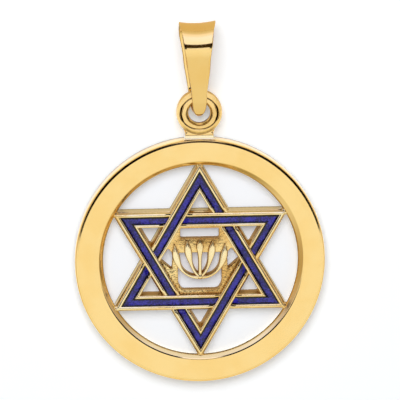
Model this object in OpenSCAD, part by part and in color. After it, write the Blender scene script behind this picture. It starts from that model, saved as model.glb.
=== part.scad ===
// Star of David pendant: a flat polished ring, a hexagram with enamel bands inside it, and a tapered bail.
// The disc lies in the XY plane with its front up. The origin is the middle of its back, and the bail is at +Y.

/* [Ring] */
// Outer diameter of the ring
ring_d = 20; // [17:0.5:25]
// Radial width of the ring, from its opening to its outer edge
ring_w = 2.24; // [1.8:0.02:2.8]
// Thickness of the ring
ring_t = 1.4; // [1.3:0.05:1.8]
// Width of the bevel round the front of the opening
ring_inner_bevel = 0.4; // [0.2:0.02:0.6]
// Depth of the bevel round the front of the opening
ring_inner_bevel_drop = 0.3; // [0.15:0.01:0.45]
// Radius of the rounding round the front outer edge
ring_outer_round = 0.34; // [0.2:0.02:0.5]
// Bevel of both back edges
ring_back_bevel = 0.12; // [0.05:0.01:0.2]

/* [Star] */
// Width of the star's bands
band_w = 1.14; // [1.06:0.02:1.4]
// Thickness of the star
star_t = 1.26; // [1.1:0.02:1.3]
// How far each point runs into the ring
tip_bite = 0.12; // [0.08:0.01:0.25]
// Diameter of the solder bead at each point
tip_bead_d = 0.44; // [0.3:0.02:0.6]
// Height of the solder bead at each point
tip_bead_h = 1.1; // [0.8:0.05:1.2]
// Metal left round the small hole in each point, inside the bands
point_web = 0.13; // [0.05:0.01:0.2]
// Length cut off each corner of that hole
point_corner = 0.24; // [0.1:0.02:0.4]

/* [Enamel] */
// Width of the metal rim along the star's outer edge
outer_rim_w = 0.32; // [0.2:0.02:0.36]
// Width of the enamel
enamel_w = 0.55; // [0.45:0.01:0.6]
// Depth of the channels
channel_depth = 0.4; // [0.25:0.05:0.6]
// How far the enamel lies below the rims
enamel_recess = 0.06; // [0.02:0.01:0.12]
// Gap between the enamel and the sides of its channel
enamel_gap = 0.01; // [0:0.005:0.03]

/* [Ornament] */
// Thickness of the pierced ground
ground_t = 0.75; // [0.5:0.05:1]
// Thickness of the leaves, from the back
leaf_t = 1.12; // [1.02:0.02:1.2]
// Width of the ground left along the hexagon's lower sides
ground_web = 0.32; // [0.2:0.02:0.5]
// Width of the large gap below the leaves
lower_gap_w = 3.5; // [3.2:0.1:3.6]
// Width of the slot at the top
slot_w = 3.1; // [2:0.1:3.2]
// Height of the slot at the top
slot_h = 0.84; // [0.5:0.02:0.9]
// Metal between the slot and the band above it
slot_web = 0.22; // [0.15:0.01:0.35]
// Height of the strip of ground that carries the leaves
carrier_h = 1.16; // [0.9:0.02:1.3]
// Largest width of a leaf
leaf_w = 0.56; // [0.4:0.02:0.7]
// Diameter of the knot where the stems meet
knot_d = 0.52; // [0.4:0.02:0.6]

/* [Loop] */
// Diameter of the loop's wire
loop_wire_d = 1; // [0.8:0.05:1.1]
// Diameter of the loop's hole
loop_hole_d = 1.68; // [1.6:0.02:2.2]
// Length of the foot between the ring's edge and the loop
foot_l = 0.28; // [0.15:0.01:0.5]
// Width of the foot's neck
foot_neck_w = 2.24; // [1.8:0.02:2.6]
// Width of the foot where it meets the ring
foot_base_w = 3; // [2.6:0.1:3.6]
// Thickness of the foot
foot_t = 0.5; // [0.4:0.05:0.9]

/* [Bail] */
// Thickness of the strap
strap_t = 0.36; // [0.25:0.01:0.36]
// Outer diameter of the bail's round head
head_d = 3.6; // [3:0.02:4.2]
// Distance from the middle of the loop's hole to the middle of the bail's top
bail_rise = 7.3; // [6.8:0.02:9]
// How far the bail leans to the left in its loop, in degrees
bail_lean = 1.4; // [0:0.2:4]
// Distance that the bail's tip hangs below the middle of the loop's hole
tip_drop = 0.32; // [0.1:0.02:0.4]
// Outer diameter of the rounded tip, front to back
tip_d = 0.9; // [0.8:0.02:1]
// Width of the strap at the top of the head
head_w = 2.92; // [2.6:0.02:3.4]
// Depth of the dish in the top of the head, between its corners
head_dish_depth = 0.15; // [0:0.01:0.25]
// Clearance between the strap and the loop's wire
bail_gap = 0.09; // [0.05:0.01:0.12]
// Height of the strap's back under the loop, above the surface that the pendant lies on
strap_lift = 0.02; // [0:0.01:0.05]

/* [Hidden] */
$fn = 96;
// Small overlap that fuses neighbouring shapes of one solid
EPS = 0.01;
RING_R = ring_d / 2;
OPENING_R = RING_R - ring_w;

// Distances of the star's lines from its centre, along the normals of its sides
STAR_R = OPENING_R + tip_bite;
BAND_OUT = STAR_R / 2;
BAND_IN = BAND_OUT - band_w;
ENAMEL_OUT = BAND_OUT - outer_rim_w;
ENAMEL_IN = ENAMEL_OUT - enamel_w;
CHANNEL_Z = star_t - channel_depth;

// Loop, foot and bail along Y
LOOP_WIRE_R = loop_wire_d / 2;
LOOP_R = loop_hole_d / 2 + LOOP_WIRE_R;
LOOP_Y = RING_R + foot_l + LOOP_R + LOOP_WIRE_R;
FOOT_Y = RING_R - ring_outer_round / 2;
HEAD_R = head_d / 2;
BAIL_TOP = LOOP_Y + bail_rise;
BAIL_TIP = LOOP_Y - tip_drop;
BAIL_L = BAIL_TOP - BAIL_TIP;
HUG_R = LOOP_WIRE_R + bail_gap;
LOOP_Z = strap_lift + strap_t + HUG_R;
// The wire curves away under the strap's edges, so the strap hugs it lower by half the depth of that curve
HUG_HALF = head_w * 0.215;
HUG_DROP = (LOOP_R - sqrt(LOOP_R ^ 2 - HUG_HALF ^ 2)) / 2;

STRIPS = ["enamel_top", "enamel_upper_left", "enamel_lower_left",
          "enamel_bottom", "enamel_lower_right", "enamel_upper_right"];

GOLD = [0.91, 0.72, 0.36];
BLUE = [0.2, 0.17, 0.5];

// Where two lines meet. Each line has the angle of its normal and its distance from the centre.
function meet(a, da, b, db) =
    [da * sin(b) - db * sin(a), db * cos(a) - da * cos(b)] / sin(b - a);

// Outline between two distances of a regular polygon's side lines
module regular(sides, turn, dist)
    polygon([for (k = [0 : sides - 1])
        meet(turn + k * 360 / sides, dist, turn + (k + 1) * 360 / sides, dist)]);

// Enamel strip round the star's top point. It starts below the bar that crosses over it on the right, bends
// round the point and runs down to the bar that crosses over it at the far left. The gap narrows it all round.
function strip_points(gap) =
    let (o = ENAMEL_OUT - gap, i = ENAMEL_IN + gap, top = BAND_OUT + gap, far = BAND_IN - gap)
    [meet(30, o, 90, top), meet(30, o, 150, o), meet(150, o, 210, far),
     meet(150, i, 210, far), meet(30, i, 150, i), meet(30, i, 90, top)];

module ring()
    rotate_extrude()
        polygon([
            [OPENING_R, ring_back_bevel], [OPENING_R + ring_back_bevel, 0],
            [RING_R - ring_back_bevel, 0], [RING_R, ring_back_bevel],
            for (a = [0 : 22.5 : 90])
                [RING_R, ring_t] + ring_outer_round * [cos(a) - 1, sin(a) - 1],
            [OPENING_R + ring_inner_bevel, ring_t], [OPENING_R, ring_t - ring_inner_bevel_drop]]);

// Small hole inside the star's top point, with its corners cut
module point_hole() {
    side = BAND_IN - point_web;
    base = BAND_OUT + point_web;
    tip_y = meet(30, side, 150, side)[1];
    // Distance from the hole's middle to the line that cuts each corner
    mid = base + (tip_y - base) / 3;
    cut = (tip_y - mid) - point_corner * sin(60);
    intersection() {
        polygon([meet(30, side, 150, side), meet(150, side, 90, base), meet(90, base, 30, side)]);
        translate([0, mid]) regular(3, 90, cut);
    }
}

module star() {
    difference() {
        linear_extrude(star_t)
            difference() {
                union()
                    for (turn = [30, 90]) regular(3, turn, BAND_OUT);
                regular(6, 30, BAND_IN);
                for (k = [0 : 5]) rotate(60 * k) point_hole();
            }
        for (k = [0 : 5])
            rotate(60 * k) translate([0, 0, CHANNEL_Z])
                linear_extrude(channel_depth + EPS) polygon(strip_points(0));
    }
    for (k = [0 : 5])
        rotate(60 * k) translate([0, STAR_R - tip_bite, 0]) cylinder(h = tip_bead_h, d = tip_bead_d);
}

// One leaf along a curve from its stem to its tip. Columns: share of the length, share of the half width
LEAF_SHAPE = [[0, 0.5], [0.16, 0.46], [0.3, 0.44], [0.44, 0.48], [0.55, 0.58], [0.64, 0.76], [0.73, 0.95],
    [0.81, 1], [0.89, 0.8], [0.95, 0.48], [1, 0.1]];

// Point and unit normal of a quadratic curve through three control points
function curve_at(p, t) = p[0] * (1 - t) ^ 2 + p[1] * 2 * t * (1 - t) + p[2] * t ^ 2;
function curve_normal(p, t) =
    let (d = (p[1] - p[0]) * (1 - t) + (p[2] - p[1]) * t) [-d[1], d[0]] / norm(d);

module leaf(path) {
    side = function (s) [for (row = LEAF_SHAPE)
        curve_at(path, row[0]) + s * row[1] * leaf_w / 2 * curve_normal(path, row[0])];
    right = side(-1);
    linear_extrude(leaf_t)
        polygon(concat(side(1), [for (i = [len(right) - 1 : -1 : 0]) right[i]]));
}

// Curves of the leaves as shares of the hexagon's inner half height: stem, bend and tip, the middle leaf first
LEAVES = [
    [[0, -0.44], [0, 0.1], [0, 0.62]],
    [[0.02, -0.46], [0.31, -0.26], [0.37, 0.58]],
    [[0.06, -0.5], [0.69, -0.45], [0.72, 0.46]]];
// Height of the knot where the stems meet, as a share of the same half height
KNOT_Y = -0.47;

// Gap beside the outer leaf, as shares of the hexagon's inner half height
SIDE_GAP = [[1.12, 0.02], [0.9, 0.34], [0.77, 0.18], [0.8, -0.26]];

module mirrored_x() {
    children();
    mirror([1, 0]) children();
}

module ornament() {
    slot_y = BAND_IN - slot_web - slot_h;
    gap_top = slot_y - carrier_h;
    linear_extrude(ground_t)
        difference() {
            regular(6, 30, BAND_IN + EPS);
            translate([-slot_w / 2, slot_y]) square([slot_w, slot_h]);
            mirrored_x() polygon(SIDE_GAP * BAND_IN);
            intersection() {
                regular(6, 30, BAND_IN - ground_web);
                translate([-lower_gap_w / 2, -BAND_IN]) square([lower_gap_w, BAND_IN + gap_top]);
            }
        }
    leaf(LEAVES[0] * BAND_IN);
    for (k = [1 : 2]) mirrored_x() leaf(LEAVES[k] * BAND_IN);
    translate([0, KNOT_Y * BAND_IN, 0]) cylinder(h = leaf_t, d = knot_d);
}

module loop() {
    translate([0, LOOP_Y, LOOP_Z])
        rotate_extrude() translate([LOOP_R, 0]) circle(d = loop_wire_d);
    translate([0, 0, LOOP_Z - foot_t / 2])
        linear_extrude(foot_t)
            difference() {
                polygon([
                    [-foot_base_w / 2, FOOT_Y], [foot_base_w / 2, FOOT_Y],
                    [foot_neck_w / 2, RING_R + foot_l], [LOOP_R + LOOP_WIRE_R / 2, LOOP_Y - LOOP_WIRE_R],
                    [-LOOP_R - LOOP_WIRE_R / 2, LOOP_Y - LOOP_WIRE_R], [-foot_neck_w / 2, RING_R + foot_l]]);
                translate([0, LOOP_Y]) circle(r = LOOP_R);
            }
}

module medallion() color(GOLD) {
    ring();
    star();
    ornament();
    loop();
}

module enamel_strip(k)
    color(BLUE)
        rotate(60 * k) translate([0, 0, CHANNEL_Z])
            linear_extrude(channel_depth - enamel_recess) polygon(strip_points(enamel_gap));

// The bail seen from the side follows the hull of three circles: its head, the loop's wire and its tip.
// Columns: y, z and outer radius
BAIL_CIRCLES = [
    [BAIL_TOP - HEAD_R, HEAD_R, HEAD_R],
    [LOOP_Y + LOOP_R - HUG_DROP, LOOP_Z, HUG_R + strap_t],
    [BAIL_TIP + tip_d / 2, LOOP_Z, tip_d / 2]];

// Half width of the strap seen from the front. Columns: share of the bail's length, share of the head's half width
STRAP_PLAN = [[0, 0.06], [0.008, 0.11], [0.03, 0.19], [0.075, 0.3], [0.17, 0.38], [0.28, 0.43], [0.39, 0.5],
    [0.524, 0.594], [0.643, 0.645], [0.758, 0.73], [0.82, 0.79], [0.897, 0.835], [0.95, 0.88], [0.985, 0.96],
    [1, 1]];

// Which circle the hull touches in direction a
function touched(a) =
    let (reach = [for (c = BAIL_CIRCLES) c[0] * cos(a) + c[1] * sin(a) + c[2]])
    [for (i = [0 : 2]) if (reach[i] == max(reach)) i][0];
function hull_at(a) = let (c = BAIL_CIRCLES[touched(a)]) [c[0] + c[2] * cos(a), c[1] + c[2] * sin(a)];

// Stations round the strap, each a point on its outer side and the angle of its normal. The straight runs
// between two circles are divided as well.
TURN = 7.5;
RUN_STEPS = 8;
STATIONS = [for (a = [0 : TURN : 360 - TURN])
    let (b = a + TURN, p = hull_at(a), q = hull_at(b), n = touched(a) == touched(b % 360) ? 1 : RUN_STEPS)
    for (j = [0 : n - 1]) [p + (q - p) * j / n, a + TURN * j / n]];

// Half width of the strap at y
function strap_half(y) = head_w / 2 * lookup((y - BAIL_TIP) / BAIL_L, STRAP_PLAN);

// Points across the strap at one station, outer side first and back along the inner side
STRAP_STEPS = 6;
function across(station) =
    let (p = station[0], a = station[1],
         dish = head_dish_depth * max(0, cos(a)) ^ 2,
         at = function (u, depth) let (d = dish * u ^ 2 - depth)
             [u * strap_half(p[0] - depth * cos(a)), p[0] + d * cos(a), p[1] + d * sin(a)])
    concat([for (j = [0 : STRAP_STEPS]) at(2 * j / STRAP_STEPS - 1, 0)],
           [for (j = [STRAP_STEPS : -1 : 0]) at(2 * j / STRAP_STEPS - 1, strap_t)]);

module bail() {
    n = len(STATIONS);
    m = 2 * (STRAP_STEPS + 1);
    color(GOLD)
        translate([0, LOOP_Y]) rotate(bail_lean) translate([0, -LOOP_Y])
            polyhedron(
                points = [for (s = STATIONS) each across(s)],
                faces = [for (i = [0 : n - 1], j = [0 : m - 1])
                    let (i2 = (i + 1) % n, j2 = (j + 1) % m)
                    each [[i * m + j, i * m + j2, i2 * m + j2], [i * m + j, i2 * m + j2, i2 * m + j]]]);
}

medallion();
for (k = [0 : 5]) enamel_strip(k);
bail();
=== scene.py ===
"""Looks of a star pendant: a gold ring, an enamelled hexagram, a leaf ornament, a loop and a bail.

Meshes are built in millimetres, in the CAD's frame, and become pieces in metres.
"""

import logging
import math
from collections.abc import Callable, Sequence
from dataclasses import dataclass, field
from enum import Enum
from typing import Any

import bmesh
import bpy
from mathutils import Matrix, Vector, noise


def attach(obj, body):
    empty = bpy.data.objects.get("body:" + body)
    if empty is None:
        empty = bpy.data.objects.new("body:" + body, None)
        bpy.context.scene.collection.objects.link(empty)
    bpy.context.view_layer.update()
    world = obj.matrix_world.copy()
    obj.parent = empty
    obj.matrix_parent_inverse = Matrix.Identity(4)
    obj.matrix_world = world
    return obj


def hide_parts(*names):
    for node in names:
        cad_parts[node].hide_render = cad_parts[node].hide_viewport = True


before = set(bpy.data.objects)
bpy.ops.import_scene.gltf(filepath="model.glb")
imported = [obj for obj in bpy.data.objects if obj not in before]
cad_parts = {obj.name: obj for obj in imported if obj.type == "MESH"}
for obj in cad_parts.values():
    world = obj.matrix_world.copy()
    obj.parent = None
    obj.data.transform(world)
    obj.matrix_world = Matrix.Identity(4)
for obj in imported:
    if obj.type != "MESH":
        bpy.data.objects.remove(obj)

LOG = logging.getLogger("pendant")
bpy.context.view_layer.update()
MM = 0.001
MEDALLION = "medallion"
# Angle in degrees from which an edge stays sharp
CREASE = 38.0
CORNERS = ("top", "upper_left", "lower_left", "bottom", "lower_right", "upper_right")

Point = tuple[float, float]
Colour = tuple[float, float, float]
Triple = tuple[float, float, float]
Groove = tuple[float, float, float, float]
Row = list[Vector]


class Slot(Enum):
    """Material slots of the record."""

    GOLD = "gold"
    ENAMEL = "blue_enamel"


def turned(degrees: float, axis: str = "Z") -> Matrix:
    """Rotation about an axis."""
    return Matrix.Rotation(math.radians(degrees), 3, axis)


def show(name: str, data: bpy.types.ID) -> bpy.types.Object:
    """Puts an object with that data in the scene."""
    made = bpy.data.objects.new(name, data)
    bpy.context.scene.collection.objects.link(made)
    return made


def meet(a: float, da: float, b: float, db: float) -> Vector:
    """Where two lines in the plane meet.

    Args:
        a: Angle of the first line's normal, in degrees.
        da: Distance of the first line from the centre.
        b: Angle of the second line's normal, in degrees.
        db: Distance of the second line from the centre.

    Returns:
        The point, at height 0.
    """
    a, b = math.radians(a), math.radians(b)
    turn = math.sin(b - a)
    return Vector(
        ((da * math.sin(b) - db * math.sin(a)) / turn, (db * math.cos(a) - da * math.cos(b)) / turn, 0.0)
    )


def ease(value: float, start: float, end: float) -> float:
    """Smooth step from 0 at start to 1 at end."""
    t = min(max((value - start) / (end - start), 0.0), 1.0)
    return t * t * (3 - 2 * t)


def waver(point: Vector, size: float, depth: float, seed: float = 0.0) -> float:
    """Uneven hand work: a smooth noise of the given grain size and depth at a point, all in millimetres."""
    return noise.noise(point / size + Vector((seed, 1.7 * seed, -seed))) * depth


def read_curve(table: Sequence[Point], at: float) -> float:
    """Value of a smooth curve through the points of a table.

    Args:
        table: Places in rising order, each with its value.
        at: The place to read.

    Returns:
        The curve's value there.
    """
    at = min(max(at, table[0][0]), table[-1][0])
    i = max(k for k in range(len(table) - 1) if table[k][0] <= at)
    (x1, y1), (x2, y2) = table[i], table[i + 1]
    x0, y0 = table[max(i - 1, 0)]
    x3, y3 = table[min(i + 2, len(table) - 1)]
    rise = (y2 - y1) / (x2 - x1)
    m1 = (y2 - y0) / (x2 - x0) if i > 0 else rise
    m2 = (y3 - y1) / (x3 - x1) if i + 2 < len(table) else rise
    # Slopes of opposite sign would make the curve swing past its points
    m1 = 0.0 if m1 * rise <= 0 else m1
    m2 = 0.0 if m2 * rise <= 0 else m2
    t, h = (at - x1) / (x2 - x1), x2 - x1
    return (
        (2 * t**3 - 3 * t**2 + 1) * y1
        + (t**3 - 2 * t**2 + t) * h * m1
        + (3 * t**2 - 2 * t**3) * y2
        + (t**3 - t**2) * h * m2
    )


def cut_round(bm: bmesh.types.BMesh, geom: list[Any], cut: float, affect: str, segments: int) -> None:
    """Rounds corners or edges.

    Args:
        bm: The mesh.
        geom: Its points or edges.
        cut: Length cut off each side.
        affect: "VERTICES" or "EDGES".
        segments: Parts of each rounding.
    """
    bmesh.ops.bevel(
        bm,
        geom=geom,
        offset=cut,
        offset_type="OFFSET",
        affect=affect,
        segments=segments,
        profile=0.5,
        material=-1,
        clamp_overlap=True,
    )


def rounded(corners: Sequence[Triple], segments: int = 4) -> list[Vector]:
    """Outline of a polygon with rounded corners, made by bevelling a face's corners.

    Args:
        corners: x and y of each corner, and the length cut off each of its sides.
        segments: Parts of each rounding.

    Returns:
        The outline's points in order, starting beside the first corner.
    """
    bm = bmesh.new()
    verts = [bm.verts.new((x, y, 0.0)) for x, y, _ in corners]
    bm.faces.new(verts)
    first = verts[0].co.copy()
    for cut in sorted({c for _, _, c in corners if c > 0}):
        chosen = [v for v, (_, _, c) in zip(verts, corners) if c == cut]
        cut_round(bm, chosen, cut, "VERTICES", segments)
    bm.faces.ensure_lookup_table()
    points = [loop.vert.co.copy() for loop in bm.faces[0].loops]
    bm.free()
    start = min(range(len(points)), key=lambda i: (points[i] - first).length)
    return points[start:] + points[:start]


def supported(points: Sequence[Vector], near: float = 0.015) -> list[Vector]:
    """A closed outline with extra points near the ends of its long straight runs, which keep flats flat.

    Args:
        points: The outline.
        near: Distance of the extra points from the ends of a run.

    Returns:
        The outline with the extra points.
    """
    made: list[Vector] = []
    for p, q in zip(points, [*points[1:], points[0]]):
        made.append(p)
        step = q - p
        if step.length > 6 * near:
            made += [p + step.normalized() * near, q - step.normalized() * near]
    return made


class Bench:
    """A mesh on the bench, in millimetres, built with bmesh operators."""

    def __init__(self) -> None:
        """Starts an empty mesh, whose points remember their seat in a row."""
        self.bm = bmesh.new()
        self.seat = self.bm.verts.layers.int.new("seat")

    def loop(self, row: Sequence[Vector]) -> list[bmesh.types.BMEdge]:
        """Lays a closed line of points joined by edges.

        Args:
            row: The points.

        Returns:
            The edges.
        """
        verts = []
        for seat, point in enumerate(row):
            vert = self.bm.verts.new(point)
            vert[self.seat] = seat
            verts.append(vert)
        return [self.bm.edges.new(pair) for pair in zip(verts, verts[1:] + verts[:1])]

    def loft(self, rows: Sequence[Row], wrap: bool = False) -> None:
        """Extrudes a closed row of points from station to station.

        Args:
            rows: The row at each station, all of one length.
            wrap: Whether the last station joins the first. Otherwise both ends are filled.
        """
        first = edges = self.loop(rows[0])
        for row in [*rows[1:], *([rows[0]] if wrap else [])]:
            made = bmesh.ops.extrude_edge_only(self.bm, edges=edges)["geom"]
            fresh = {item for item in made if isinstance(item, bmesh.types.BMVert)}
            for vert in fresh:
                vert.co = row[vert[self.seat]]
            edges = [
                item
                for item in made
                if isinstance(item, bmesh.types.BMEdge) and all(v in fresh for v in item.verts)
            ]
        if wrap:
            self.weld()
        else:
            for ends in (first, edges):
                bmesh.ops.edgeloop_fill(self.bm, edges=ends)

    def spin(self, profile: Sequence[Vector], centre: Vector, steps: int) -> None:
        """Turns a closed profile, in the XZ plane, once round a vertical axis.

        Args:
            profile: Points, x from the axis and z up.
            centre: A point of the axis.
            steps: Parts of the turn.
        """
        edges = self.loop([Vector((centre.x + p.x, centre.y, centre.z + p.z)) for p in profile])
        verts = list({v for e in edges for v in e.verts})
        bmesh.ops.spin(
            self.bm,
            geom=verts + edges,
            cent=centre,
            axis=(0, 0, 1),
            angle=math.tau,
            steps=steps,
            use_merge=True,
        )

    def plate(self, outlines: Sequence[Sequence[Vector]], low: float, high: float, edge: float) -> None:
        """A flat plate with holes and rounded upper edges.

        Args:
            outlines: The outer outline and the holes.
            low: Height of its back.
            high: Height of its front.
            edge: Rounding of the front's edges.
        """
        edges = [e for line in outlines for e in self.loop([Vector((p.x, p.y, high)) for p in line])]
        filled = bmesh.ops.triangle_fill(
            self.bm, use_beauty=True, use_dissolve=False, edges=edges, normal=(0, 0, 1)
        )
        faces = [item for item in filled["geom"] if isinstance(item, bmesh.types.BMFace)]
        made = bmesh.ops.extrude_face_region(self.bm, geom=faces, use_keep_orig=True)["geom"]
        lower = [item for item in made if isinstance(item, bmesh.types.BMVert)]
        bmesh.ops.translate(self.bm, verts=lower, vec=(0, 0, low - high))
        cut_round(self.bm, [e for e in edges if e.is_valid], edge, "EDGES", 3)

    def weld(self) -> None:
        """Merges points that lie on each other."""
        bmesh.ops.remove_doubles(self.bm, verts=self.bm.verts, dist=1e-4)

    def turn(self, degrees: float, centre: Point = (0.0, 0.0)) -> None:
        """Turns the whole mesh about a vertical axis.

        Args:
            degrees: The angle, anticlockwise seen from the front.
            centre: x and y of the axis.
        """
        bmesh.ops.rotate(self.bm, verts=self.bm.verts, cent=(*centre, 0.0), matrix=turned(degrees))

    def mark(self, name: str, value: Callable[[int, Vector], float]) -> None:
        """Stores a number at each point.

        Args:
            name: Name of the attribute.
            value: Gives the number from the point's seat in its row and its place.
        """
        layer = self.bm.verts.layers.float.new(name)
        self.seat = self.bm.verts.layers.int["seat"]
        for vert in self.bm.verts:
            vert[layer] = value(vert[self.seat], vert.co)

    def piece(self, name: str, finish: "Finish", slot: Slot, node: str) -> None:
        """Ends the mesh and hands it over as a piece of the pendant.

        Args:
            name: The piece's name.
            finish: Its finish.
            slot: Its material slot in the record. Not used.
            node: The CAD node that it stands for.
        """
        bmesh.ops.recalc_face_normals(self.bm, faces=self.bm.faces)
        bmesh.ops.scale(self.bm, vec=(MM, MM, MM), verts=self.bm.verts)
        open_edges = sum(len(e.link_faces) != 2 for e in self.bm.edges)
        mesh = bpy.data.meshes.new(name)
        self.bm.verts.layers.int.remove(self.seat)
        self.bm.to_mesh(mesh)
        self.bm.free()
        mesh.shade_smooth()
        mesh.set_sharp_from_angle(angle=math.radians(CREASE))
        mesh.materials.append(finish.material())
        piece = show(name, mesh)
        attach(piece, "root")
        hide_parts(node)
        LOG.info("%s: %d faces, %d open edges", name, len(mesh.polygons), open_edges)


class Wire:
    """A socket that takes part in sums. Each sum adds a Math node."""

    def __init__(self, board: "Board", socket: bpy.types.NodeSocket) -> None:
        """Keeps the board and the socket."""
        self.board = board
        self.socket = socket

    def sum(self, operation: str, *values: "Wire | float") -> "Wire":
        """Adds a Math node.

        Args:
            operation: Its operation.
            values: Its inputs.

        Returns:
            The result.
        """
        return self.board.wire("ShaderNodeMath", {"operation": operation}, dict(enumerate(values)))

    def __add__(self, other: "Wire | float") -> "Wire":
        """self + other."""
        return self.sum("ADD", self, other)

    __radd__ = __add__

    def __sub__(self, other: "Wire | float") -> "Wire":
        """self - other."""
        return self.sum("SUBTRACT", self, other)

    def __rsub__(self, other: float) -> "Wire":
        """other - self."""
        return self.sum("SUBTRACT", other, self)

    def __mul__(self, other: "Wire | float") -> "Wire":
        """self * other."""
        return self.sum("MULTIPLY", self, other)

    __rmul__ = __mul__

    def __truediv__(self, other: "Wire | float") -> "Wire":
        """self / other."""
        return self.sum("DIVIDE", self, other)

    def __abs__(self) -> "Wire":
        """Size without its sign."""
        return self.sum("ABSOLUTE", self)

    def between(self, low: float, high: float) -> "Wire":
        """Soft step from 0 at low to 1 at high, or from 1 to 0 where low is the larger."""
        start, end, flip = (low, high, False) if low < high else (high, low, True)
        step = self.board.wire(
            "ShaderNodeMapRange",
            {"interpolation_type": "SMOOTHSTEP"},
            {"Value": self, "From Min": start, "From Max": end},
        )
        return 1 - step if flip else step


class Board:
    """A tree of shader nodes being wired."""

    def __init__(self, tree: bpy.types.NodeTree) -> None:
        """Empties the tree."""
        tree.nodes.clear()
        self.tree = tree

    def node(self, kind: str, settings: dict[str, Any], inputs: dict[str | int, Any]) -> bpy.types.Node:
        """Adds a node.

        Args:
            kind: Its type.
            settings: Its properties, set first. "stops" are a ramp's places and colours, "ease" is how
                it runs between them.
            inputs: Values or wires for its sockets.

        Returns:
            The node.
        """
        node = self.tree.nodes.new(kind)
        for name, value in settings.items():
            if name == "stops":
                ramp = node.color_ramp
                ramp.elements.remove(ramp.elements[1])
                ramp.elements[0].position = value[0][0]
                ramp.elements[0].color = (*value[0][1], 1.0)
                for place, colour in value[1:]:
                    ramp.elements.new(place).color = (*colour, 1.0)
            elif name == "ease":
                node.color_ramp.interpolation = value
            else:
                setattr(node, name, value)
        for name, value in inputs.items():
            if isinstance(value, Wire):
                self.tree.links.new(value.socket, node.inputs[name])
            else:
                node.inputs[name].default_value = value
        return node

    def wire(
        self, kind: str, settings: dict[str, Any], inputs: dict[str | int, Any], output: str | int = 0
    ) -> Wire:
        """Adds a node and gives one of its outputs.

        Args:
            kind: The node's type.
            settings: Its properties.
            inputs: Values or wires for its sockets.
            output: The output's name or number.

        Returns:
            The output.
        """
        return Wire(self, self.node(kind, settings, inputs).outputs[output])

    def blend(self, share: Wire | float, a: Wire | Colour, b: Wire | Colour) -> Wire:
        """Mixes two colours.

        Args:
            share: Share of the second colour.
            a: The first colour.
            b: The second colour.

        Returns:
            The mixed colour.
        """
        a, b = ((*c, 1.0) if isinstance(c, tuple) else c for c in (a, b))
        return self.wire("ShaderNodeMix", {"data_type": "RGBA"}, {0: share, 6: a, 7: b}, 2)

    def place(self, stretch: Triple = (1.0, 1.0, 1.0)) -> Wire:
        """Object coordinates, stretched along X, Y and Z."""
        place = self.wire("ShaderNodeTexCoord", {}, {}, "Object")
        return self.wire("ShaderNodeMapping", {}, {"Vector": place, "Scale": stretch})

    def grain(self, size: float, detail: float, stretch: Triple = (1.0, 1.0, 1.0)) -> Wire:
        """Noise over the surface.

        Args:
            size: Size of its grains in millimetres.
            detail: Octaves of finer noise on it.
            stretch: Stretch along X, Y and Z. A small number makes long grains.

        Returns:
            Values about 0.5.
        """
        inputs = {"Vector": self.place(stretch), "Scale": 1 / (size * MM), "Detail": detail}
        return self.wire("ShaderNodeTexNoise", {}, inputs)

    def marked(self, name: str) -> Wire:
        """The number that a piece's points hold under a name."""
        return self.wire("ShaderNodeAttribute", {"attribute_name": name}, {}, "Fac")

    def relief(self, height: Wire, depth: float, below: Wire | None = None) -> Wire:
        """Bump from heights.

        Args:
            height: Height, 0 to 1.
            depth: Depth in millimetres that a height of 1 stands for.
            below: A normal that it is laid over.

        Returns:
            The normal.
        """
        inputs = {"Height": height, "Distance": depth * MM, "Strength": 1.0}
        return self.wire("ShaderNodeBump", {}, inputs if below is None else {**inputs, "Normal": below})


@dataclass(frozen=True)
class Finish:
    """A finish. Its material is made once."""

    name: str

    def wire(self, board: Board) -> Wire:
        """Wires the finish and gives its shader."""
        raise NotImplementedError

    def material(self) -> bpy.types.Material:
        """The material, made at its first use."""
        made = bpy.data.materials.get(self.name)
        if made is None:
            made = bpy.data.materials.new(self.name)
            made.use_nodes = True
            board = Board(made.node_tree)
            board.node("ShaderNodeOutputMaterial", {}, {"Surface": self.wire(board)})
        return made


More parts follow.
